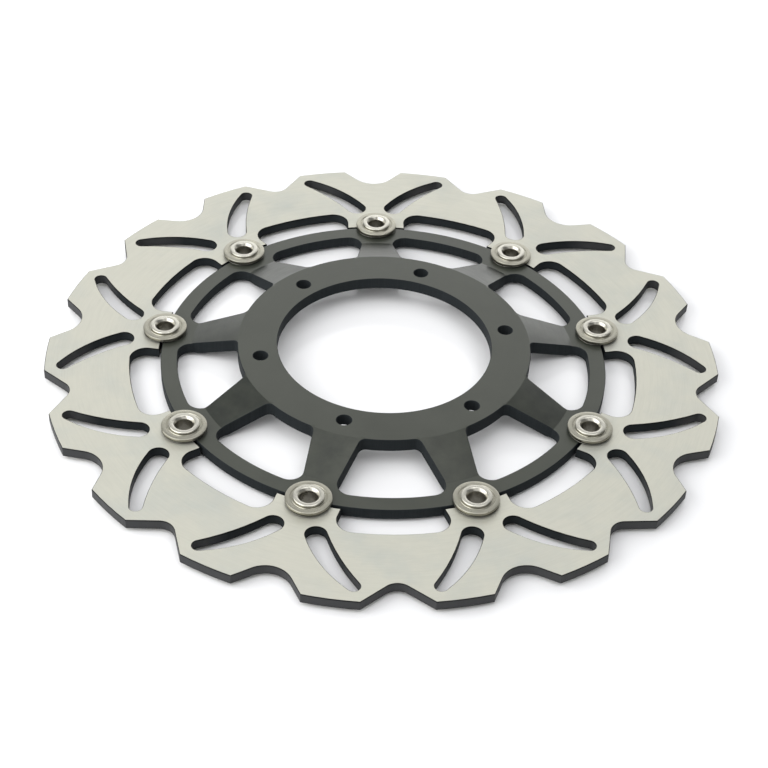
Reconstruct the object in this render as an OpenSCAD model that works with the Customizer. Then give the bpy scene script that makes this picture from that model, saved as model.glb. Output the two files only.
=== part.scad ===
// Floating front brake disc rotor for a motorcycle.
//
// A dark alloy carrier bolts to the wheel hub with six bolts. A stainless friction ring
// floats round it on nine hollow bobbins, which sit half in the carrier and half in the
// ring. Each bobbin holds one flat washer and one wavy spring washer under its rolled lip.
//
// The origin is the centre of the bore on the hub face. +Z points at the hub, and +X
// passes through one bolt hole and one bobbin. All sizes are in millimetres.

/* [Friction ring] */
// Outside diameter of the friction ring
disc_od = 296; // [294:0.5:300]
// Thickness of the friction ring
disc_t = 4.5; // [4:0.1:4.6]
// Diameter of the arcs that close the ring's windows on the outside
disc_window_d = 222.6; // [220:0.2:224]
// Width of each ear, measured across its bobbin
ear_w = 27.3; // [25:0.1:29]
// Radius of the rounded corners in the ring's windows
disc_window_f = 6.9; // [5:0.1:7.5]

/* [Lobes] */
// Radius of the scallop outside each bobbin
scallop_r = 10.9; // [9:0.1:12]
// Slope of the scallop's straight flanks
scallop_flank = 47.5; // [42:0.5:54]
// Radius of the rounded bottom of each V notch
vee_r = 6.6; // [5:0.1:8]
// Slope of the V notch's straight flanks
vee_flank = 38.5; // [34:0.5:42]
// Distance from the axis to the bottom of each V notch
vee_bottom = 137.6; // [136:0.1:139]

/* [Slots] */
// Distance from the axis to the centre of a slot's inner end
slot_in_at = 115.5; // [115:0.1:117]
// Angle between a bobbin and the inner end of a slot
slot_in_angle = 4.5; // [4.3:0.1:5]
// Radius of a slot's inner end
slot_in_r = 4.4; // [3:0.1:4.6]
// Distance from the axis to the centre of a slot's outer end
slot_out_at = 140; // [138:0.1:140.5]
// Angle between a bobbin and the outer end of a slot
slot_out_angle = 13.1; // [12.5:0.1:13.5]
// Radius of a slot's outer end
slot_out_r = 2.7; // [2:0.1:3]
// Radius of the bowed edge of a slot, on the side of its bobbin
slot_bow_r = 58.8; // [50:0.2:70]
// Radius of the hollow edge of a slot, on the far side
slot_hollow_r = 94; // [75:1:110]

/* [Carrier] */
// Diameter of the hub bore
bore_d = 94; // [90:0.5:96]
// Diameter of the raised hub flange
flange_d = 128.6; // [126:0.2:130]
// Thickness of the hub flange
flange_t = 5.5; // [4.5:0.1:6.5]
// Distance from the hub face down to the top of the carrier's outer ring
offset_h = 7.3; // [6:0.1:9]
// Diameter where the sloping spokes meet the flat outer ring
slope_d = 170.6; // [168:0.2:173]
// Height of the spokes' wall along the slope
slope_wall = 6; // [5.6:0.1:7]
// Thickness of the carrier's outer ring
ring_t = 5; // [4.9:0.1:5.5]
// Diameter of the arcs that close the carrier's windows on the outside
carrier_window_d = 181.4; // [179:0.2:183]
// Width of a spoke where it leaves the flange
spoke_in_w = 20.4; // [18:0.2:22]
// Width of a spoke where it meets the outer ring
spoke_out_w = 14.4; // [12:0.2:16]
// Radius of the window corners at the outer ring
carrier_window_f = 5.9; // [4:0.1:7]
// Radius of the window corners at the flange
flange_window_f = 3.2; // [2:0.1:4]

/* [Bolt circle] */
// Number of mounting bolts
bolt_count = 6; // [3:3:6]
// Diameter of the bolt circle
bolt_pcd = 110; // [109:0.5:112]
// Diameter of each bolt hole
bolt_d = 6.5; // [6:0.1:8.5]

/* [Bobbins] */
// Diameter of the circle through the bobbins
bobbin_pcd = 197; // [196:0.1:198]
// Diameter of a bobbin's shank
shank_d = 12; // [11:0.1:12.4]
// Diameter of the hole through a bobbin
bobbin_bore_d = 7.3; // [6:0.1:8]
// Diameter of a bobbin's head, under the ring
head_d = 17.4; // [15:0.1:18.5]
// Thickness of a bobbin's head
head_t = 1.6; // [1.2:0.1:2.5]
// Diameter of the rolled lip on top
lip_d = 12.9; // [12.8:0.1:14]
// Height of the rolled lip above its washer
lip_h = 1; // [0.8:0.1:1.2]
// Radius of the rounding that leads from the lip into the hole
funnel_r = 1.2; // [0.6:0.1:1.3]
// Diameter of the flat washer
washer_d = 19.2; // [18:0.1:20]
// Thickness of the flat washer
washer_t = 1.3; // [1:0.1:1.6]
// Outside diameter of the wavy spring washer
wave_d = 19; // [17:0.1:20]
// Thickness of the spring washer's strip
wave_t = 0.4; // [0.3:0.05:0.5]
// Height taken up by the spring washer
wave_h = 0.9; // [0.7:0.05:1.1]

/* [Fits] */
// Radial running clearance between a bobbin's shank and its half-round notches
shank_play = 0.05; // [0.03:0.01:0.1]
// Gap between the ends of the ring's ears and the carrier
ear_gap = 1.2; // [0.8:0.1:1.6]

/* [Hidden] */
$fn = 96;
BOBBINS = 9;
STEP = 360 / BOBBINS;                    // angle from one bobbin to the next
SLIVER = 1;                              // how far a cut runs past the face it opens
OPEN_IN = 4;                             // how far the ring's windows run on inside the ear ends
OUT = 1.5;                               // moves a point outwards, past every outline
IN = 0.5;                                // moves a point inwards, past every outline

disc_r = disc_od / 2;
bobbin_at = bobbin_pcd / 2;
flange_r = flange_d / 2;
slope_r = slope_d / 2;
ring_r = bobbin_at - ear_gap / 2;        // outside of the carrier
ear_r = bobbin_at + ear_gap / 2;         // ends of the ring's ears
notch_r = shank_d / 2 + shank_play;      // half-round notches for the shanks
washer_in_r = shank_d / 2 + shank_play;

// Heights, with the hub face at zero
ring_top = -offset_h;
ring_bottom = ring_top - ring_t;
disc_bottom = ring_top - (ring_t + disc_t) / 2;
washer_z = ring_top + wave_h;
lip_z = washer_z + washer_t;

// The underside of the slope is parallel to its top. These are the radii where it begins and ends.
spoke_slope = offset_h / (slope_r - flange_r);
under_in_r = flange_r - (slope_wall - flange_t) / spoke_slope;
under_out_r = slope_r - (slope_wall - ring_t) / spoke_slope;

WAVES = 3;                               // bends round one spring washer
WAVE_SEGMENTS = 36;
WAVE_PLAY = 0.005;                       // keeps the bends just clear of their neighbours

// ---- Geometry in the plane. The axis of bobbin 1 lies along +X. ----

function polar(r, a) = [r * cos(a), r * sin(a)];
function unit(v) = v / norm(v);
function left_of(d) = [-d.y, d.x];

// The mirror image of a point across the line halfway between two bobbins
function across(p) = [p.x * cos(STEP) + p.y * sin(STEP), p.x * sin(STEP) - p.y * cos(STEP)];

// The centre of a corner of radius f that touches the line through p along d on its left,
// and that lies at distance c from the axis
function corner_centre(p, d, f, c) =
    let (q = p + f * left_of(d), s = q * d)
    q + d * (sqrt(s * s - q * q + c * c) - s);

// The point at distances d1 and d2 from c1 and c2, on the left of the line from c1 to c2
function meeting_point(c1, d1, c2, d2) =
    let (d = norm(c2 - c1), a = (d1 * d1 - d2 * d2 + d * d) / (2 * d))
    c1 + a * unit(c2 - c1) + sqrt(d1 * d1 - a * a) * left_of(unit(c2 - c1));

module round_hole(at, r) {
    translate(at) circle(r = r);
}

// Children at every bobbin
module each_bobbin() {
    for (i = [0 : BOBBINS - 1]) rotate(i * STEP) children();
}

// A notch in the rim: a round bottom with straight flanks that leave it at a slope
module rim_notch(bottom, r, flank) {
    centre = [bottom + r, 0];
    touch = r * [-cos(flank), sin(flank)];
    run = 3 * r * [sin(flank), cos(flank)];
    flip = [[1, 0], [0, -1]];
    round_hole(centre, r);
    polygon([centre + touch, centre + touch + run, centre + flip * (touch + run), centre + flip * touch]);
}

// A window between two bobbins: arcs inside and outside, straight sides, round corners.
// One side runs through p along d, and the other side is its mirror image.
module window(out_r, in_r, p, d, out_f, in_f) {
    a = corner_centre(p, d, out_f, out_r - out_f);
    b = corner_centre(p, d, in_f, in_r + in_f);
    side_a = a - out_f * left_of(d);
    side_b = b - in_f * left_of(d);
    polygon([side_b, side_a, a, across(a), across(side_a), across(side_b), across(b), b]);
    intersection() {
        circle(r = out_r);
        polygon([a, OUT * a, OUT * across(a), across(a)]);
    }
    difference() {
        polygon([b, across(b), IN * across(b), IN * b]);
        circle(r = in_r);
    }
    for (c = [a, across(a)]) round_hole(c, out_f);
    for (c = [b, across(b)]) round_hole(c, in_f);
}

// One slot: two round ends joined by a bowed edge and a hollow edge, both tangent to them
module slot() {
    c1 = polar(slot_in_at, slot_in_angle);
    c2 = polar(slot_out_at, slot_out_angle);
    bow = meeting_point(c1, slot_bow_r - slot_in_r, c2, slot_bow_r - slot_out_r);
    hollow = meeting_point(c1, slot_hollow_r + slot_in_r, c2, slot_hollow_r + slot_out_r);
    reach = 3 * slot_in_r;
    round_hole(c1, slot_in_r);
    round_hole(c2, slot_out_r);
    difference() {
        intersection() {
            round_hole(bow, slot_bow_r);
            polygon([
                c1 + slot_in_r * unit(hollow - c1), c1, c1 + reach * unit(c1 - bow),
                c2 + reach * unit(c2 - bow), c2, c2 + slot_out_r * unit(hollow - c2)
            ]);
        }
        round_hole(hollow, slot_hollow_r);
    }
}

// The ring's windows open into its middle, so their inner corners cut only air
module disc_windows() {
    ear_edge = [ear_r, ear_w / 2];
    each_bobbin() window(disc_window_d / 2, ear_r - OPEN_IN, ear_edge, [1, 0], disc_window_f, SLIVER);
}

module carrier_windows() {
    spoke_foot = [flange_r, spoke_in_w / 2];
    along = unit([slope_r, spoke_out_w / 2] - spoke_foot);
    each_bobbin()
        window(carrier_window_d / 2, flange_r, spoke_foot, along, carrier_window_f, flange_window_f);
}

module disc_outline() {
    difference() {
        circle(r = disc_r);
        circle(r = ear_r);
        disc_windows();
        each_bobbin() {
            rim_notch(disc_r - scallop_r, scallop_r, scallop_flank);
            rotate(STEP / 2) rim_notch(vee_bottom, vee_r, vee_flank);
            round_hole([bobbin_at, 0], notch_r);
            slot();
            mirror([0, 1]) slot();
        }
    }
}

// ---- Parts ----

module brake_disc() {
    color("#cfccbe")
        translate([0, 0, disc_bottom]) linear_extrude(disc_t) disc_outline();
}

// Half section of the carrier: hub flange, slope and outer ring
module carrier_section() {
    polygon([
        [bore_d / 2, 0], [flange_r, 0], [slope_r, ring_top], [ring_r, ring_top],
        [ring_r, ring_bottom], [under_out_r, ring_bottom], [under_in_r, -flange_t],
        [bore_d / 2, -flange_t]
    ]);
}

module carrier() {
    cut_h = offset_h + ring_t + 2 * SLIVER;
    color("#5f6158") difference() {
        rotate_extrude($fn = 180) carrier_section();
        translate([0, 0, ring_bottom - SLIVER]) linear_extrude(cut_h) carrier_windows();
        each_bobbin() translate([bobbin_at, 0, ring_bottom - SLIVER]) cylinder(r = notch_r, h = cut_h);
        for (i = [0 : bolt_count - 1]) rotate(i * 360 / bolt_count)
            translate([bolt_pcd / 2, 0, -flange_t - SLIVER]) cylinder(d = bolt_d, h = flange_t + 2 * SLIVER);
    }
}

// Half section of a bobbin: head, shank, and the lip rolled over the washer
module bobbin_section() {
    in_r = bobbin_bore_d / 2;
    lip_r = lip_d / 2;
    head_bottom = ring_bottom - head_t;
    crest_z = lip_z + lip_h;
    edge_r = lip_h / 2;
    difference() {
        union() {
            translate([in_r, head_bottom]) square([shank_d / 2 - in_r, lip_z - head_bottom]);
            translate([in_r, head_bottom]) square([head_d / 2 - in_r, head_t]);
            translate([in_r, lip_z]) square([lip_r - in_r, lip_h - edge_r]);
            translate([in_r, lip_z]) square([lip_r - in_r - edge_r, lip_h]);
            translate([lip_r - edge_r, crest_z - edge_r]) circle(r = edge_r);
        }
        difference() {
            translate([in_r - SLIVER, crest_z - funnel_r]) square(funnel_r + SLIVER);
            translate([in_r + funnel_r, crest_z - funnel_r]) circle(r = funnel_r);
        }
    }
}

module bobbin(i) {
    color("#c4c0b2") rotate((i - 1) * STEP) translate([bobbin_at, 0, 0])
        rotate_extrude() bobbin_section();
}

module flat_washer(i) {
    color("#bdb9ab") rotate((i - 1) * STEP) translate([bobbin_at, 0, washer_z]) difference() {
        cylinder(d = washer_d, h = washer_t);
        translate([0, 0, -SLIVER]) cylinder(r = washer_in_r, h = washer_t + 2 * SLIVER);
    }
}

// A flat strip bent into waves: one square of points at each step round the washer
module spring_washer(i) {
    swing = (wave_h - wave_t) / 2 - WAVE_PLAY;
    strip = [[washer_in_r, 0], [wave_d / 2, 0], [wave_d / 2, wave_t], [washer_in_r, wave_t]];
    points = [
        for (s = [0 : WAVE_SEGMENTS - 1])
            let (a = s * 360 / WAVE_SEGMENTS, z = WAVE_PLAY + swing * (1 + cos(WAVES * a)))
            for (c = strip) [c.x * cos(a), c.x * sin(a), c.y + z]
    ];
    faces = [
        for (s = [0 : WAVE_SEGMENTS - 1], k = [0 : 3])
            let (here = 4 * s, next = 4 * ((s + 1) % WAVE_SEGMENTS), k2 = (k + 1) % 4)
            for (f = [[here + k, here + k2, next + k2], [here + k, next + k2, next + k]]) f
    ];
    color("#b3af9f") rotate((i - 1) * STEP) translate([bobbin_at, 0, ring_top])
        polyhedron(points = points, faces = faces);
}

brake_disc();
carrier();
for (i = [1 : BOBBINS]) {
    bobbin(i);
    flat_washer(i);
    spring_washer(i);
}
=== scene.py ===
"""The looks of a floating brake disc rotor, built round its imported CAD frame.

The friction ring and the carrier are rebuilt from their CAD outlines, with true curves and
broken edges. The bobbins and their washers are turned from half sections.
"""
import math
import random

import bpy
import numpy as np
from mathutils import Matrix, Vector
from mathutils.geometry import delaunay_2d_cdt


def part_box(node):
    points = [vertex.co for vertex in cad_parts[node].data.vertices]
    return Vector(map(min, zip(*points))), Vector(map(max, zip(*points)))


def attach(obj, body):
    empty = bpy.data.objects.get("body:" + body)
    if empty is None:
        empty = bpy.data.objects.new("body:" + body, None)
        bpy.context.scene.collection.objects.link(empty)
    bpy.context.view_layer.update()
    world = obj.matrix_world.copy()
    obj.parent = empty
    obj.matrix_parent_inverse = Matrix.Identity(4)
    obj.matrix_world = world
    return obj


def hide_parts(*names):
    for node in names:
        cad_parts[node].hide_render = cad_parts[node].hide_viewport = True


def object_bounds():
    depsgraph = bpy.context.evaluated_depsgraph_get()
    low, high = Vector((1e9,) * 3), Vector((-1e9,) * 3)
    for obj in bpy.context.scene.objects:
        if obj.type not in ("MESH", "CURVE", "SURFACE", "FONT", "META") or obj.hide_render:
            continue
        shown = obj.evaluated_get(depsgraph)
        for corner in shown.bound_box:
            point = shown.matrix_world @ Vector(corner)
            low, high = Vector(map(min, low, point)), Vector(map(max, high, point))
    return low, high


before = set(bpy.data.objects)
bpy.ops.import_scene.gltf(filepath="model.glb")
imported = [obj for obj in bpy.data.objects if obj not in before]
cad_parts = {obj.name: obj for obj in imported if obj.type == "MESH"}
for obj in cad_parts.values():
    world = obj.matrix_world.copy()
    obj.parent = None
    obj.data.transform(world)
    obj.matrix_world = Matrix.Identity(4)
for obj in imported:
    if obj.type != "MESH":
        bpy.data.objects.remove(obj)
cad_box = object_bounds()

MM = 0.001
BOBBINS = 9
SAME_POINT = 0.02 * MM                # outline points closer than this are one
FACING_UP = 0.2                       # a CAD face whose normal's Z is above this faces up
SLIVER = 0.001 * MM ** 2              # CAD faces smaller than this say nothing about heights
LEVEL = 1e-7                          # a smaller step in height is no slope, in metres
CORNER = math.radians(26)             # an outline that turns by more than this has a sharp corner
FINE = math.radians(4)                # turn of an outline between two points of a curve
SHARP = math.radians(35)              # a turned piece's edge that turns by more stays sharp

RING_EDGE = (0.25 * MM, 0.25 * MM)    # rounding of the edges, along and across the faces
CARRIER_EDGE = (0.22 * MM, 0.22 * MM)
EDGE_STEPS = 3                        # steps of such a rounding
BEND_HALF = 0.2 * MM                  # half the width of the carrier's rounded bends
RING_SPACING = 3 * MM                 # between the rings of points on the carrier's slope
RING_POINTS = 240                     # points round each of those rings
RING_SIDE = 20 * MM                   # longest side of the friction ring's rebuilt outlines
CARRIER_SIDE = 1.5 * MM               # longest side of the carrier's
MITRE = 0.5                           # keeps a point at a narrow corner from being set in too far
FILL_TOLERANCE = 1e-6                 # of the faces' triangles, in mm
SLOPE = (64.3 * MM, 85.3 * MM)        # where the spokes slope down, from the axis


# ---- Camera ------------------------------------------------------------------------------

CAMERA_HEADING = math.radians(75.915)   # the way the camera looks, seen from above
CAMERA_TILT = math.radians(39.942)      # how far it looks down
CAMERA_ROLL = math.radians(2.959)
CAMERA_DISTANCE = 770.0 * MM
CAMERA_AIM = Vector((0.0, 0.0, -5.1 * MM))
AIM_SHIFT = 14.29 * MM                  # how far below the aim the middle of the picture is
LENS_PER_WIDTH = 2.2735                 # focal length over the width of the picture


def build_camera():
    ahead = Vector((math.cos(CAMERA_HEADING), math.sin(CAMERA_HEADING), 0))
    look = ahead * math.cos(CAMERA_TILT) - Vector((0, 0, math.sin(CAMERA_TILT)))
    right = look.cross(Vector((0, 0, 1))).normalized()
    roll = Matrix.Rotation(-CAMERA_ROLL, 3, look)
    right = roll @ right
    up = right.cross(look)
    data = bpy.data.cameras.new("camera")
    data.sensor_width = 36
    data.lens = LENS_PER_WIDTH * data.sensor_width
    camera = bpy.data.objects.new("camera", data)
    bpy.context.scene.collection.objects.link(camera)
    place = CAMERA_AIM - up * AIM_SHIFT - look * CAMERA_DISTANCE
    turn = Matrix((right, up, -look)).transposed()
    camera.matrix_world = Matrix.Translation(place) @ turn.to_4x4()
    data.clip_start = 0.01
    bpy.context.scene.camera = camera


# ---- Reading the CAD frame ---------------------------------------------------------------

def top_faces(node, up, smallest=0.0):
    """The corner points of a CAD node's faces that face up, or down where up is -1."""
    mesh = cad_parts[node].data
    for face in mesh.polygons:
        if face.normal.z * up > FACING_UP and face.area >= smallest:
            yield [tuple(mesh.vertices[v].co) for v in face.vertices]


def outlines(node):
    """The closed outlines of a CAD plate seen from above, with its material on their left."""
    edges = set()
    for corners in top_faces(node, 1):
        flat = [p[:2] for p in corners]
        for a, b in zip(flat, flat[1:] + flat[:1]):
            if (b, a) in edges:
                edges.remove((b, a))
            elif a != b:
                edges.add((a, b))
    follower = dict(sorted(edges))
    loops = []
    while follower:
        start = next(iter(follower))
        loop = [start]
        here = follower.pop(start)
        while here != start:
            if math.dist(here, loop[-1]) > SAME_POINT:
                loop.append(here)
            here = follower.pop(here)
        if math.dist(loop[0], loop[-1]) < SAME_POINT:
            loop.pop()
        loops.append(np.array(loop))
    return loops


def height(node, up):
    """The height of a CAD plate's top or bottom as a function of the distance from the axis."""
    faces = top_faces(node, up, SLIVER)
    points = {(math.hypot(p[0], p[1]), p[2]) for face in faces for p in face}
    radii, heights = np.array(sorted(points)).T
    return lambda r: np.interp(r, radii, heights)


# ---- Outlines ----------------------------------------------------------------------------

def unit(v):
    return v / np.maximum(np.linalg.norm(v, axis=-1, keepdims=True), 1e-12)


def turn_between(a, b):
    """The angle from direction a to direction b."""
    return np.arctan2(a[..., 0] * b[..., 1] - a[..., 1] * b[..., 0], (a * b).sum(-1))


def mirrored(v, axis):
    """A direction's mirror image about an axis."""
    return 2 * (v @ axis) * axis - v


def true_curve(loop, longest):
    """Turns the short sides of a CAD outline back into curves, and keeps its corners sharp.

    Returns the points, and for each whether it is a sharp corner."""
    sides = np.roll(loop, -1, 0) - loop
    before = np.roll(sides, 1, 0)
    sharp = np.abs(turn_between(before, sides)) > CORNER
    tangents = unit(before + sides)
    points, corners = [], []
    for i, side in enumerate(sides):
        j = (i + 1) % len(loop)
        length = np.linalg.norm(side)
        along = side / length
        leave, arrive = tangents[i], tangents[j]
        # a side is straight between two sharp corners, and an arc where one end is smooth
        if sharp[i]:
            leave = along if sharp[j] else mirrored(arrive, along)
        if sharp[j]:
            arrive = along if sharp[i] else mirrored(leave, along)
        bend = abs(turn_between(leave, along)) + abs(turn_between(along, arrive))
        steps = max(1, math.ceil(bend / FINE), math.ceil(length / longest))
        for s in range(steps):
            t = s / steps
            spread = (t * (1 - t) ** 2 * leave - t * t * (1 - t) * arrive) * length
            points.append(loop[i] + side * t * t * (3 - 2 * t) + spread)
            corners.append(bool(sharp[i]) and s == 0)
    return np.array(points), corners


def set_in(points, distance):
    """An outline moved into its material."""
    after = unit(np.roll(points, -1, 0) - points)
    before = np.roll(after, 1, 0)
    middle = unit(before + after)
    half = turn_between(before, after) / 2
    left = np.stack([-middle[:, 1], middle[:, 0]], 1)
    return points + left * (distance / np.maximum(np.cos(half), MITRE))[:, None]


def inside(points, loops):
    """Which points lie in the material between the outlines."""
    hits = np.zeros(len(points), int)
    for loop in loops:
        a, b = loop, np.roll(loop, -1, 0)
        for (ax, ay), (bx, by) in zip(a, b):
            if ay == by:
                continue
            crossed = (points[:, 1] >= min(ay, by)) & (points[:, 1] < max(ay, by))
            hits += crossed & (points[:, 0] < ax + (points[:, 1] - ay) * (bx - ax) / (by - ay))
    return hits % 2 == 1


# ---- Meshes ------------------------------------------------------------------------------

def add_object(name, verts, faces, materials, kinds=None, normals=None):
    """A smooth mesh object. kinds holds each face's material, and normals one per corner."""
    mesh = bpy.data.meshes.new(name)
    mesh.from_pydata([tuple(v) for v in verts], [], faces)
    for material in materials:
        mesh.materials.append(material)
    if kinds:
        mesh.polygons.foreach_set("material_index", kinds)
    mesh.polygons.foreach_set("use_smooth", [True] * len(faces))
    mesh.update()
    if normals:
        mesh.normals_split_custom_set(normals)
    made = bpy.data.objects.new(name, mesh)
    bpy.context.scene.collection.objects.link(made)
    return made


def lean(points, z, up):
    """The normals of a plate's top, or of its bottom where up is -1."""
    radii = np.maximum(np.hypot(points[:, 0], points[:, 1]), MM)
    slope = (z(radii + BEND_HALF) - z(radii - BEND_HALF)) / (2 * BEND_HALF)
    flat = -slope[:, None] * points / radii[:, None]
    return unit(up * np.column_stack([flat, np.ones(len(points))]))


def wall_normals(points, corners):
    """The outward normals of an outline's wall, at the start and at the end of each side."""
    sides = unit(np.roll(points, -1, 0) - points)
    middle = unit(sides + np.roll(sides, 1, 0))
    sharp = np.array(corners)[:, None]
    start = np.where(sharp, sides, middle)
    end = np.where(np.roll(sharp, -1, 0), sides, np.roll(middle, -1, 0))
    return [np.column_stack([v[:, 1], -v[:, 0], np.zeros(len(v))]) for v in (start, end)]


def plate(name, node, edge, materials, longest, rings=()):
    """A flat or dished plate with a CAD node's outlines and rounded edges.

    edge is how far its edges are rounded, along and across. materials are those of its faces
    and of its walls. longest limits the sides of its outlines. rings are the distances from
    the axis that get points of their own, to carry its bends and slopes."""
    top, bottom = height(node, 1), height(node, -1)
    curves = [true_curve(loop, longest) for loop in outlines(node)]
    turns = np.radians(np.linspace(0, 90, EDGE_STEPS + 1))
    # down a rounded edge: how far each row is set in and down, and how its normal leans
    rows = [(1 - math.sin(t), 1 - math.cos(t), math.cos(t), math.sin(t)) for t in turns]
    verts, faces, kinds, normals = [], [], [], []

    def lifted(points, z, drop):
        radii = np.hypot(points[:, 0], points[:, 1])
        return np.column_stack([points, z(radii) + drop])

    caps = []
    for points, corners in curves:
        count, base = len(points), len(verts)
        walls = wall_normals(points, corners)
        levels = []
        for z, up in ((top, 1), (bottom, -1)):
            for inset, drop, upright, outward in rows[::up]:
                place = set_in(points, inset * edge[0])
                verts.extend(lifted(place, z, -up * drop * edge[1]))
                cap = lean(place, z, up)
                ends = (cap, np.roll(cap, -1, 0))
                levels.append([unit(upright * c + outward * w) for c, w in zip(ends, walls)])
        for level in range(len(levels) - 1):
            for i in range(count):
                j = (i + 1) % count
                here, below = base + level * count, base + (level + 1) * count
                faces.append((here + i, below + i, below + j, here + j))
                kinds.append(1)
                (a, b), (c, d) = levels[level], levels[level + 1]
                normals += [a[i], c[i], d[i], b[i]]
        caps.append((base, base + (len(levels) - 1) * count, count))

    rims = [set_in(points, edge[0]) for points, _ in curves]
    spots = ring_points(rings, rims, clear=2 * edge[0])
    flat = np.vstack(rims + [spots])
    fill = list(triangles(flat, rims))
    for z, up in ((top, 1), (bottom, -1)):
        index = []
        for first, last, count in caps:
            start = first if up > 0 else last
            index.extend(range(start, start + count))
        index.extend(range(len(verts), len(verts) + len(spots)))
        verts.extend(lifted(spots, z, 0))
        tilts = lean(flat, z, up)
        for corners in fill:
            corners = corners[::up]
            faces.append(tuple(index[c] for c in corners))
            normals += [tilts[c] for c in corners]
            kinds.append(0)
    return add_object(name, verts, faces, materials, kinds, normals)


def ring_points(rings, rims, clear):
    """Points round each ring that lie in the material and clear of its outlines."""
    if len(rings) == 0:
        return np.zeros((0, 2))
    angles = np.arange(RING_POINTS) * 2 * math.pi / RING_POINTS
    points = np.vstack([r * np.column_stack([np.cos(angles), np.sin(angles)]) for r in rings])
    points = points[inside(points, rims)]
    edges = np.vstack(rims)
    gaps = np.array([np.hypot(*(edges - p).T).min() for p in points])
    return points[gaps > clear]


def triangles(points, rims):
    """Fills the material between the outlines. Their points come first in points."""
    edges, base = [], 0
    for rim in rims:
        edges += [(base + i, base + (i + 1) % len(rim)) for i in range(len(rim))]
        base += len(rim)
    scale = 1 / MM                    # the tolerance suits millimetres
    made = delaunay_2d_cdt([Vector(p * scale) for p in points], edges, [], 0, FILL_TOLERANCE)
    _, _, faces, originals = made[:4]
    faces = [[originals[v][0] for v in face] for face in faces]
    middles = np.array([points[face].mean(0) for face in faces])
    keep = inside(middles, rims)
    for face, kept in zip(faces, keep):
        if kept:
            a, b, c = points[face]
            ccw = (b[0] - a[0]) * (c[1] - a[1]) > (b[1] - a[1]) * (c[0] - a[0])
            yield face if ccw else face[::-1]


def filleted(section, steps=6):
    """Rounds the corners of a closed section. Each of its corners is (r, z, fillet)."""
    corners = np.array(section, float)
    made = []
    for i, (r, z, fillet) in enumerate(corners):
        here = np.array([r, z])
        if fillet == 0:
            made.append(here)
            continue
        back = unit(corners[i - 1, :2] - here)
        on = unit(corners[(i + 1) % len(corners), :2] - here)
        half = math.acos(max(-1.0, min(1.0, back @ on))) / 2
        reach = fillet / math.tan(half)
        centre = here + unit(back + on) * fillet / math.sin(half)
        start, stop = here + back * reach - centre, here + on * reach - centre
        swing = turn_between(start, stop)
        for s in range(steps + 1):
            a = swing * s / steps
            swung = [start[0] * math.cos(a) - start[1] * math.sin(a),
                     start[0] * math.sin(a) + start[1] * math.cos(a)]
            made.append(centre + swung)
    return made


def turned(name, section, centre, material, segments=128, lift=lambda angle: 0):
    """A solid turned round an upright axis from a closed section in millimetres.

    lift is how far up the section is moved at each angle, also in millimetres."""
    count = len(section)
    verts, faces = [], []
    for s in range(segments):
        a = 2 * math.pi * s / segments
        rise = lift(a)
        for r, z in section:
            x, y = centre.x + r * MM * math.cos(a), centre.y + r * MM * math.sin(a)
            verts.append((x, y, (z + rise) * MM))
    for s in range(segments):
        here, beyond = s * count, (s + 1) % segments * count
        for i in range(count):
            j = (i + 1) % count
            faces.append((here + i, beyond + i, beyond + j, here + j))
    made = add_object(name, verts, faces, [material])
    made.data.set_sharp_from_angle(angle=SHARP)
    return made


# ---- Materials ---------------------------------------------------------------------------

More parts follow.
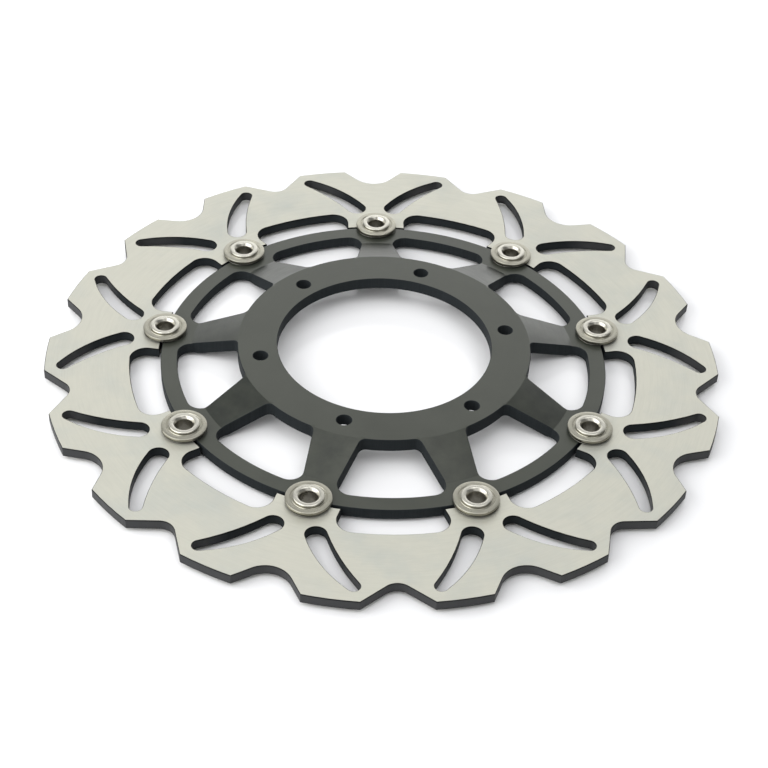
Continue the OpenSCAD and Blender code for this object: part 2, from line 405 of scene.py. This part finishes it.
class Nodes:
    """A material's node tree, with short calls for the nodes it is made of."""

    def __init__(self, name):
        self.material = bpy.data.materials.new(name)
        self.material.use_nodes = True
        self.tree = self.material.node_tree
        self.shader = self.tree.nodes["Principled BSDF"]

    def add(self, kind, **values):
        node = self.tree.nodes.new(kind)
        for key, value in values.items():
            setattr(node, key, value)
        return node

    def join(self, source, target):
        if isinstance(source, (int, float, tuple)):
            target.default_value = source
        else:
            self.tree.links.new(source, target)

    def math(self, operation, *inputs):
        node = self.add("ShaderNodeMath", operation=operation)
        for value, socket in zip(inputs, node.inputs):
            self.join(value, socket)
        return node.outputs[0]

    def place(self):
        return self.add("ShaderNodeTexCoord").outputs["Object"]

    def noise(self, vector, scale, detail=3.0, roughness=0.5):
        node = self.add("ShaderNodeTexNoise")
        self.join(vector, node.inputs["Vector"])
        node.inputs["Scale"].default_value = scale
        node.inputs["Detail"].default_value = detail
        node.inputs["Roughness"].default_value = roughness
        return node.outputs["Fac"]

    def spread(self, value, low, high, start=0.3, stop=0.7):
        """Maps a value that runs from start to stop onto low to high."""
        node = self.add("ShaderNodeMapRange")
        for socket, v in zip(node.inputs, (value, start, stop, low, high)):
            self.join(v, socket)
        return node.outputs[0]

    def blend(self, share, a, b):
        node = self.add("ShaderNodeMix", data_type="RGBA")
        for socket, v in ((node.inputs[0], share), (node.inputs[6], a), (node.inputs[7], b)):
            self.join(v, socket)
        return node.outputs[2]

    def bump(self, heights, strength, distance):
        node = self.add("ShaderNodeBump")
        node.inputs["Strength"].default_value = strength
        node.inputs["Distance"].default_value = distance
        self.join(heights, node.inputs["Height"])
        return node.outputs[0]

    def split(self, vector):
        """The X, Y and Z of a vector."""
        node = self.add("ShaderNodeSeparateXYZ")
        self.join(vector, node.inputs[0])
        return node.outputs

    def polar(self, vector, centre, around, up):
        """Coordinates that run out, round and up from an axis, for marks that go round it.

        The lower around and up are, the longer the marks run that way."""
        shift = self.add("ShaderNodeVectorMath", operation="SUBTRACT")
        self.join(vector, shift.inputs[0])
        shift.inputs[1].default_value = centre
        x, y, z = self.split(shift.outputs[0])
        squares = self.math("ADD", self.math("MULTIPLY", x, x), self.math("MULTIPLY", y, y))
        whole = self.add("ShaderNodeCombineXYZ")
        self.join(self.math("SQRT", squares), whole.inputs[0])
        self.join(self.math("MULTIPLY", self.math("ARCTAN2", y, x), around), whole.inputs[1])
        self.join(self.math("MULTIPLY", z, up), whole.inputs[2])
        return whole.outputs[0]

    def finish(self, colour, metallic, roughness, normal=None, gloss=0.5):
        self.join(colour, self.shader.inputs["Base Color"])
        self.join(gloss, self.shader.inputs["Specular IOR Level"])
        self.join(metallic, self.shader.inputs["Metallic"])
        self.join(roughness, self.shader.inputs["Roughness"])
        if normal:
            self.join(normal, self.shader.inputs["Normal"])
        return self.material


AXIS = (0, 0, 0)                      # the rotor's own, for polar
MARK = 0.02 * MM                      # depth of the grinding and turning marks
CUTTER_MARK = 0.05 * MM               # depth of the marks on the cut walls
PAINTED_EDGE_SHADE = (0.4 * MM, 0.5 * MM)          # how far down the ring's walls the painted shade is full, and gone
RIM = (128 * MM, 136 * MM)            # where the ring's walls turn to its greyer rim, from the axis
BORE_SHADE_REACH = (0.05 * MM, 0.35 * MM)    # how far from a bobbin's bore its painted shade is full, and gone

# Colours. Where there are two, patches or lines go from one to the other.
STEEL = (0.466, 0.463, 0.400, 1)
STEEL_SMUDGE = (0.392, 0.409, 0.380, 1)
STEEL_STREAK = (0.418, 0.415, 0.366, 1)
STEEL_WARM = (0.486, 0.475, 0.410, 1)
SKIN = (0.015, 0.018, 0.0195, 1), (0.022, 0.0255, 0.027, 1)
RUBBED = (0.040, 0.041, 0.042, 1)
# painted shade along the ring's rounded edges
EDGE_SHADE_BLACK = (0.004, 0.0045, 0.005, 1)
ANODISED = (0.0175, 0.020, 0.0155, 1), (0.025, 0.028, 0.022, 1)
ANODISED_TINT = (0.99, 1.0, 0.89, 1)
DULL_SLOPE = (0.0095, 0.0115, 0.011, 1)
MILLED = (0.016, 0.019, 0.0205, 1), (0.022, 0.0255, 0.027, 1)
NICKEL = (0.50, 0.487, 0.43, 1), (0.44, 0.428, 0.375, 1)
# painted shade in the bobbins' bores
NICKEL_BORE_SHADE = (0.37, 0.355, 0.31, 1)
WASHER = (0.34, 0.33, 0.272, 1), (0.29, 0.28, 0.235, 1)
# painted shade: the spring washers' plate is darker for the shade they sit in under the flat
# washers
SPRING_SHADED = (0.16, 0.155, 0.135, 1), (0.12, 0.115, 0.10, 1)
FLOOR = (0.755, 0.755, 0.76, 1), (0.775, 0.775, 0.78, 1)


def ground_steel():
    """The ring's ground faces: warm grey, with fine curved marks, streaks and blue smudges."""
    n = Nodes("ground_steel")
    place = n.place()
    marks = n.noise(n.polar(place, AXIS, 0.004, 1), 2600, 2)
    streaks = n.noise(n.polar(place, AXIS, 0.02, 1), 520, 4, 0.65)
    smudges = n.noise(place, 32, 4, 0.6)
    blotches = n.noise(place, 9, 2)
    colour = n.blend(n.spread(smudges, 0, 1, 0.48, 0.72), STEEL, STEEL_SMUDGE)
    colour = n.blend(n.spread(streaks, 0, 0.6, 0.42, 0.72), colour, STEEL_STREAK)
    colour = n.blend(n.spread(blotches, 0, 0.5), colour, STEEL_WARM)
    rough = n.math("ADD", n.spread(marks, 0.44, 0.56), n.spread(smudges, -0.03, 0.05))
    return n.finish(colour, 0.8, rough, n.bump(marks, 0.12, MARK))


def cut_edge():
    """The ring's cut edges: a blue-black skin with faint lines across the thickness.

    It is rubbed greyer round the outside, and painted black along the edges of the faces as painted
    shade."""
    n = Nodes("cut_edge")
    place = n.place()
    round_axis = n.polar(place, AXIS, 0.15, 0.02)
    lines = n.noise(round_axis, 1500, 3)
    patches = n.noise(place, 60, 3)
    colour = n.blend(n.spread(patches, 0, 1), *SKIN)
    rim = n.spread(n.split(round_axis)[0], 0, 1, *RIM)
    colour = n.blend(rim, colour, RUBBED)
    low, high = (corner.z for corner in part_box("brake_disc"))
    off_middle = n.math("ABSOLUTE", n.math("SUBTRACT", n.split(place)[2], (low + high) / 2))
    half = (high - low) / 2
    # painted shade: black over the rounded edges and the top and bottom of the walls
    edge_shade = n.spread(off_middle, 0, 1, half - PAINTED_EDGE_SHADE[1], half - PAINTED_EDGE_SHADE[0])
    colour = n.blend(edge_shade, colour, EDGE_SHADE_BLACK)
    rough = n.spread(lines, 0.42, 0.58)
    gloss = n.spread(rim, 0.02, 0.15, 0, 1)
    return n.finish(colour, 0.0, rough, n.bump(lines, 0.15, CUTTER_MARK), gloss)


def anodised():
    """The carrier: satin dark grey anodising over turned and milled alloy.

    The spokes' slopes are duller and more blotched than the turned faces."""
    n = Nodes("anodised")
    place = n.place()
    round_axis = n.polar(place, AXIS, 0.003, 1)
    marks = n.noise(round_axis, 1800, 2)
    patches = n.noise(place, 40, 4, 0.6)
    n.shader.inputs["Specular Tint"].default_value = ANODISED_TINT
    radius = n.split(round_axis)[0]
    slope = n.math(
        "MULTIPLY",
        n.spread(radius, 0, 1, SLOPE[0], SLOPE[0] + BEND_HALF),
        n.spread(radius, 1, 0, SLOPE[1] - BEND_HALF, SLOPE[1]),
    )
    blotches = n.math("MULTIPLY", slope, n.spread(n.noise(place, 90, 5, 0.65), 0.1, 0.9))
    colour = n.blend(n.spread(patches, 0, 1), *ANODISED)
    colour = n.blend(blotches, colour, DULL_SLOPE)
    rough = n.math("ADD", n.spread(marks, 0.30, 0.38), n.spread(patches, -0.03, 0.03))
    gloss = n.spread(blotches, 0.5, 0.40, 0, 1)
    return n.finish(colour, 0.0, rough, n.bump(marks, 0.10, MARK), gloss)


def anodised_wall():
    """The milled walls of the carrier's windows: darker and bluer, with upright cutter marks."""
    n = Nodes("anodised_wall")
    place = n.place()
    lines = n.noise(n.polar(place, AXIS, 0.15, 0.02), 1200, 3)
    colour = n.blend(n.spread(lines, 0, 1), *MILLED)
    rough = n.spread(lines, 0.42, 0.56)
    return n.finish(colour, 0.0, rough, n.bump(lines, 0.12, 0.8 * CUTTER_MARK), 0.02)


def plated(name, centre, colours, rough, bore_r=0.0):
    """Satin nickel plate with turning marks round the piece's own axis.

    With bore_r, the radius of its bore in metres, the plate in the bore is darkened with painted
    shade."""
    n = Nodes(name)
    place = n.place()
    round_axis = n.polar(place, centre, 0.002, 1)
    marks = n.noise(round_axis, 5200, 2)
    patches = n.noise(place, 260, 3)
    tint = n.blend(n.spread(patches, 0, 1), *colours)
    if bore_r:
        radius = n.split(round_axis)[0]
        # painted shade: the plate darkens towards and into the bore
        bore_shade = n.spread(radius, 1, 0, bore_r + BORE_SHADE_REACH[0], bore_r + BORE_SHADE_REACH[1])
        tint = n.blend(bore_shade, tint, NICKEL_BORE_SHADE)
    wear = n.spread(patches, -0.02, 0.02)
    roughness = n.math("ADD", n.spread(marks, rough - 0.03, rough + 0.03), wear)
    return n.finish(tint, 1.0, roughness, n.bump(marks, 0.05, MARK))


def floor_material():
    n = Nodes("floor_white")
    grain = n.noise(n.place(), 3, 2)
    colour = n.blend(grain, *FLOOR)
    return n.finish(colour, 0.0, 0.15)


# ---- The friction ring and the carrier ---------------------------------------------------

def build_friction_ring():
    materials = [ground_steel(), cut_edge()]
    ring = plate("friction_ring", "brake_disc", RING_EDGE, materials, RING_SIDE)
    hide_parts("brake_disc")
    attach(ring, "ring_body")


def build_carrier():
    """The bends are at the CAD's own radii. Rings of points between them keep the slope round."""
    bends = []
    for up in (1, -1):
        z = height("carrier", up)
        radii = np.arange(0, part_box("carrier")[1].x, BEND_HALF / 4)
        slopes = np.abs(np.diff(z(radii))) > LEVEL
        bends += [radii[:-1][slopes].min(), radii[1:][slopes].max()]
    rings = [bend + step for bend in bends for step in (-BEND_HALF, 0, BEND_HALF)]
    first, last = min(bends) + RING_SPACING, max(bends) - RING_SPACING / 2
    rings += list(np.arange(first, last, RING_SPACING))
    materials = [anodised(), anodised_wall()]
    carrier = plate("hub_carrier", "carrier", CARRIER_EDGE, materials, CARRIER_SIDE, rings)
    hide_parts("carrier")
    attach(carrier, "carrier_body")


# ---- Bobbins and washers -----------------------------------------------------------------

# Lengths here are in mm.
SHANK_R = 6.0                         # radius of a bobbin's shank
LIP_FLAT = 0.9                        # how far outside the bore the lip's flat crest starts
LIP_DEPTH = 1.3                       # how far down the lip rounds into the bore
WASHER_BORE_R = 6.05                  # inner radius of both washers
GROOVE = (6.9, 7.05, 7.4, 7.6)        # radii of the corners of the flat washer's groove
GROOVE_DEPTH = 0.2
STRIP = 0.4                           # thickness of the spring washer
NEAR_TOP = 0.01                       # a point this little under a top counts as above it

SEED = 9
WAVES = 3                             # waves round one spring washer
WAVE_TURNS = (20, 60)                 # how far the spring washers are turned, in degrees
WAVE_STEPS = 144


def span(node):
    """Centre, radius, lowest and highest point of a round CAD node, the last three in mm."""
    low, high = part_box(node)
    return (low + high) / 2, (high.y - low.y) / 2 / MM, low.z / MM, high.z / MM


def bobbin_points(number):
    """The distances of a CAD bobbin's points from its axis, and their heights, in metres."""
    node = f"bobbin_{number}"
    centre = span(node)[0]
    points = np.array([v.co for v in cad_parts[node].data.vertices])
    return np.hypot(points[:, 0] - centre.x, points[:, 1] - centre.y), points[:, 2]


def bore_radius(number):
    return float(bobbin_points(number)[0].min())


def turned_bobbin(number, material):
    """A head below, a shank, and a lip above that rounds down into the bore."""
    node = f"bobbin_{number}"
    centre, head_r, foot, crest = span(node)
    radii, heights = bobbin_points(number)
    bore_r = bore_radius(number) / MM
    head_top = span("carrier")[2]
    washer_top = span(f"flat_washer_{number}")[3]
    lip_r = radii[heights > (washer_top - NEAR_TOP) * MM].max() / MM
    section = filleted([
        (bore_r, foot, 0.3), (head_r, foot, 0.45), (head_r, head_top, 0.25),
        (SHANK_R, head_top, 0), (SHANK_R, washer_top, 0), (lip_r, washer_top, 0.3),
        (lip_r, crest, 0.55), (bore_r + LIP_FLAT, crest, 0.7), (bore_r, crest - LIP_DEPTH, 0.8),
    ])
    bobbin = turned(f"turned_bobbin_{number}", section, centre, material)
    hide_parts(node)
    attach(bobbin, f"bobbin_set_{number}")


def turned_washer(number, material):
    """A flat washer with a shallow groove round the bobbin's lip."""
    node = f"flat_washer_{number}"
    centre, outer_r, low, high = span(node)
    bed = high - GROOVE_DEPTH
    section = filleted([
        (WASHER_BORE_R, low, 0.1), (outer_r, low, 0.4), (outer_r, high, 0.35),
        (GROOVE[3], high, 0.08), (GROOVE[2], bed, 0.08), (GROOVE[1], bed, 0.08),
        (GROOVE[0], high, 0.08), (WASHER_BORE_R, high, 0.1),
    ], 4)
    washer = turned(f"turned_washer_{number}", section, centre, material)
    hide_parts(node)
    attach(washer, f"bobbin_set_{number}")


def waved_washer(number, material, phase):
    """A rounded strip bent into waves round the bobbin."""
    node = f"spring_washer_{number}"
    centre, outer_r, low, high = span(node)
    swing = (high - low - STRIP) / 2
    half = STRIP / 2
    strip = filleted([
        (WASHER_BORE_R, -half, 0.1), (outer_r, -half, 0.15),
        (outer_r, half, 0.15), (WASHER_BORE_R, half, 0.1),
    ], 3)

    def lift(angle):
        return (low + high) / 2 + swing * math.cos(WAVES * (angle - phase))

    washer = turned(f"waved_washer_{number}", strip, centre, material, WAVE_STEPS, lift)
    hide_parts(node)
    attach(washer, f"bobbin_set_{number}")


def build_bobbin_sets():
    pick = random.Random(SEED)
    for number in range(1, BOBBINS + 1):
        centre = tuple(span(f"bobbin_{number}")[0])
        nickel = plated(f"nickel_{number}", centre, NICKEL, 0.29, bore_radius(number))
        washer = plated(f"washer_nickel_{number}", centre, WASHER, 0.30)
        # the spring washers' darker colour is painted shade
        spring = plated(f"shaded_spring_nickel_{number}", centre, SPRING_SHADED, 0.22)
        turned_bobbin(number, nickel)
        turned_washer(number, washer)
        waved_washer(number, spring, math.radians(pick.uniform(*WAVE_TURNS)))


# ---- Studio ------------------------------------------------------------------------------

UNDER_FEET = 0.02 * MM                # keeps the floor off the bobbins' flat heads
FLOOR_HALF = 10.0                     # half the width of the floor


def build_floor():
    half, z = FLOOR_HALF, cad_box[0].z - UNDER_FEET
    corners = [(-half, -half, z), (half, -half, z), (half, half, z), (-half, half, z)]
    floor = add_object("floor", corners, [(0, 1, 2, 3)], [floor_material()])


def away(heading, elevation):
    """A direction out from the rotor.

    heading is measured from the far side of the rotor as the camera sees it, left positive."""
    a, e = CAMERA_HEADING + math.radians(heading), math.radians(elevation)
    return Vector((math.cos(a) * math.cos(e), math.sin(a) * math.cos(e), math.sin(e)))


def softbox(n, heading, elevation, full, faded, radiance):
    """A round patch of light in the sky, full within one angle and gone at another."""
    dot = n.add("ShaderNodeVectorMath", operation="DOT_PRODUCT")
    n.join(n.sky, dot.inputs[0])
    dot.inputs[1].default_value = away(heading, elevation)
    fade = n.add("ShaderNodeMapRange", interpolation_type="SMOOTHSTEP")
    stops = (math.cos(math.radians(faded)), math.cos(math.radians(full)), 0, radiance)
    for socket, value in zip(fade.inputs, (dot.outputs["Value"],) + stops):
        n.join(value, socket)
    return fade.outputs[0]


class SkyNodes(Nodes):
    """The node tree of the light that surrounds the rotor."""

    def __init__(self, name):
        self.world = bpy.data.worlds.new(name)
        self.world.use_nodes = True
        self.tree = self.world.node_tree
        self.shader = self.tree.nodes["Background"]
        self.sky = self.add("ShaderNodeTexCoord").outputs["Generated"]


FILL = 0.22                           # radiance of the sky between its softboxes
SKY = (0.985, 0.99, 1, 1)
SOFTBOXES = [                         # heading, elevation, full, faded, radiance
    (2, 13, 20, 36, 1.87),
    (50, 8, 15, 35, 0.5),
    (-42, 10, 15, 35, 1.2),
    (0, 78, 12, 30, 2.0),
    (110, 30, 20, 45, 1.1),
    (178, 52, 15, 45, 1.5),
    (-115, 58, 8, 22, 1.7),
]
DARK_PATCH = (180, 45, 8, 18, 1.0)    # where the camera stands
LEFT_BOX = (112, 33, 0.62, (0.8, 0.5), 3.1)   # heading, elevation, distance, size, power


def build_light():
    n = SkyNodes("studio")
    total = FILL
    for box in SOFTBOXES:
        total = n.math("ADD", softbox(n, *box), total)
    total = n.math("MULTIPLY", total, n.math("SUBTRACT", 1.0, softbox(n, *DARK_PATCH)))
    n.shader.inputs["Color"].default_value = SKY
    n.join(total, n.shader.inputs["Strength"])
    bpy.context.scene.world = n.world
    area_light("left_box", *LEFT_BOX)


def area_light(name, heading, elevation, distance, size, power):
    """A rectangular light that looks at the middle of the rotor."""
    data = bpy.data.lights.new(name, "AREA")
    data.shape = "RECTANGLE"
    data.size, data.size_y = size
    data.energy = power
    light = bpy.data.objects.new(name, data)
    bpy.context.scene.collection.objects.link(light)
    direction = away(heading, elevation)
    light.location = direction * distance
    light.rotation_euler = (-direction).to_track_quat("-Z", "Y").to_euler()


build_camera()
build_friction_ring()
build_carrier()
build_bobbin_sets()
build_floor()
build_light()
bpy.context.scene.view_settings.view_transform = "Standard"
